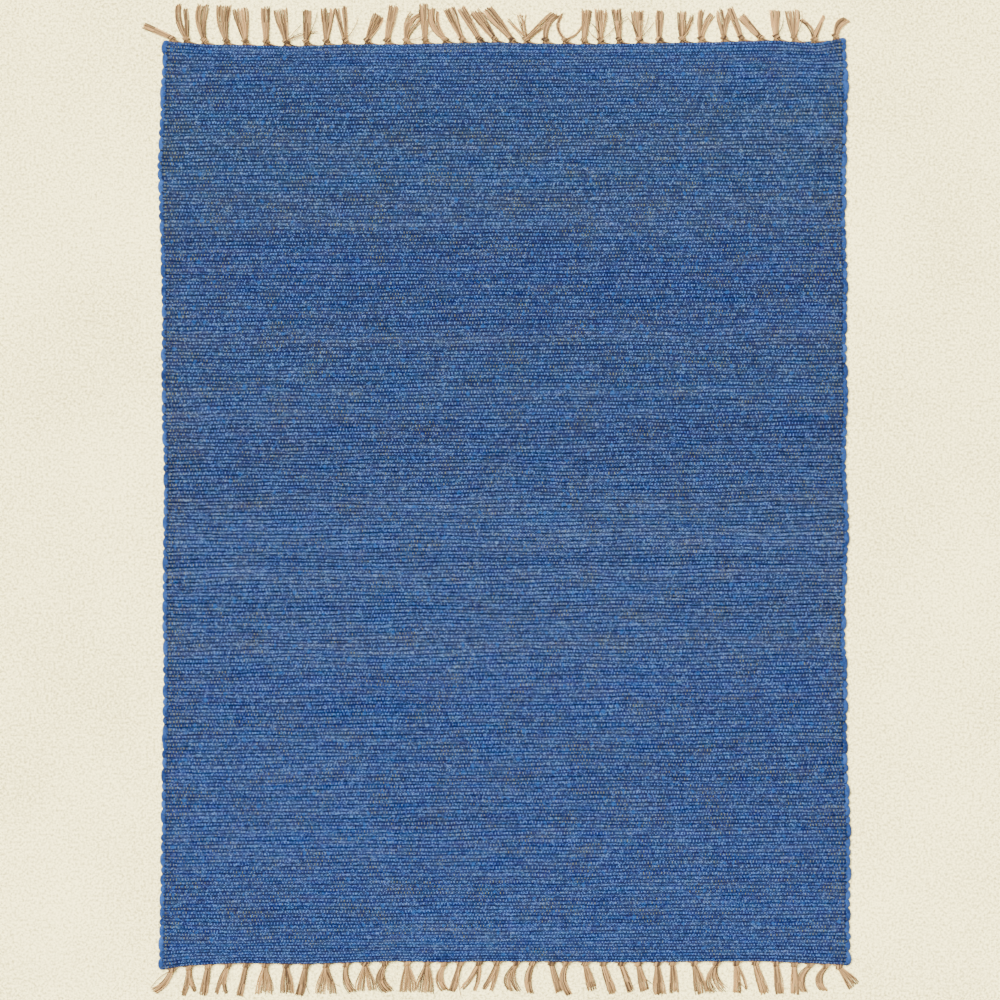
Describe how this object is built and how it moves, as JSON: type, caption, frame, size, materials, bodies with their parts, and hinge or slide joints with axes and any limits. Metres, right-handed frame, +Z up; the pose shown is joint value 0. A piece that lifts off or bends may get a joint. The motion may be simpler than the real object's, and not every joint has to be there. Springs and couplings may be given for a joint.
{
  "type": "fringed flatweave rug",
  "caption": "Flat hand-woven floor rug of thick blue wool on a jute warp, with its warp ends knotted into a fringe at each short end.",
  "frame": {"origin": "on the floor, under the middle of the rug's bounding box with its fringes", "axes": "+X across the rug to the right as seen from above, +Y along it towards the far fringe, +Z up from the floor"},
  "size_m": [1.4734, 2.038, 0.009],
  "materials": {
    "wool_weft": "matte heathered blue wool, thick single-ply weft beaten down over the warp",
    "jute_warp": "matte natural jute yarn, slightly hairy"
  },
  "bodies": {
    "root": {"woven_field": "wool_weft", "fringe_far": "jute_warp", "fringe_near": "jute_warp"}
  },
  "joints": []
}
